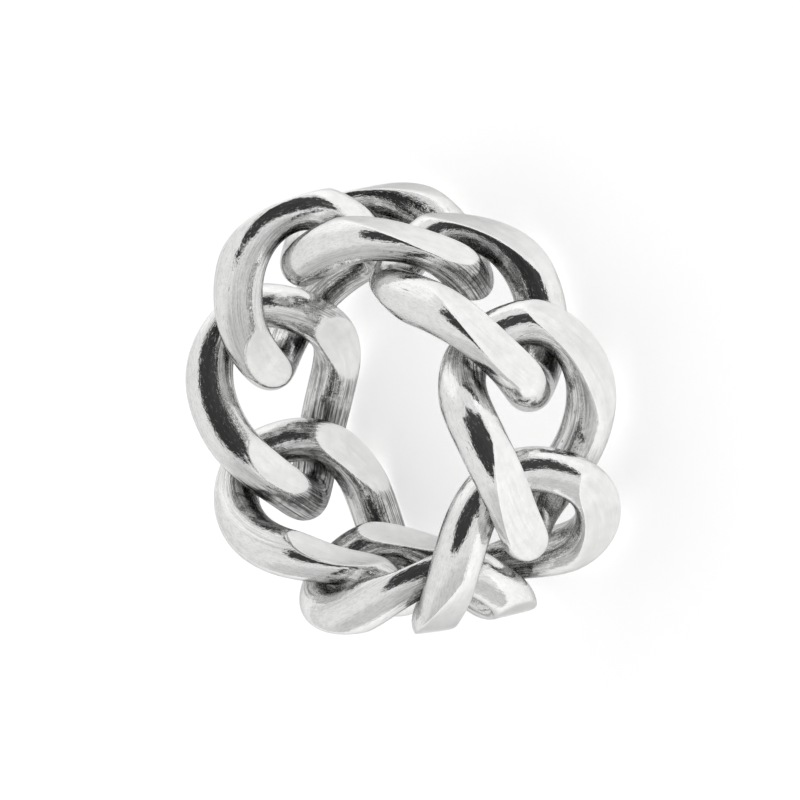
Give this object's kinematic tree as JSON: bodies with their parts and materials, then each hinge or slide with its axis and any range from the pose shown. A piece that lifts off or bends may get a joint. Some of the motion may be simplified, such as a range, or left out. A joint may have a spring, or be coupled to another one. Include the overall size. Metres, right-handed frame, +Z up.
{
  "type": "chain link ring",
  "caption": "Heavy finger ring of a closed loop of twisted, interlocking curb links in solid silver wire, ground flat outside and inside, lying on its side.",
  "frame": {"origin": "on the plane that the ring lies on, at the middle of the finger hole, which is the middle of the whole box to about 0.2 mm", "axes": "+Z up, along the finger hole's axis and across the band; the ring is round about Z; link_1 is on +X and the links follow clockwise as seen from above"},
  "size_m": [0.0308, 0.0281, 0.0142],
  "materials": {
    "silver": "solid sterling silver: polished flats with fine scratches, darker oxidised hollows between the links"
  },
  "bodies": {
    "root": {"link_1": "silver", "link_2": "silver", "link_3": "silver", "link_4": "silver", "link_5": "silver", "link_6": "silver", "link_7": "silver", "link_8": "silver"}
  },
  "joints": []
}
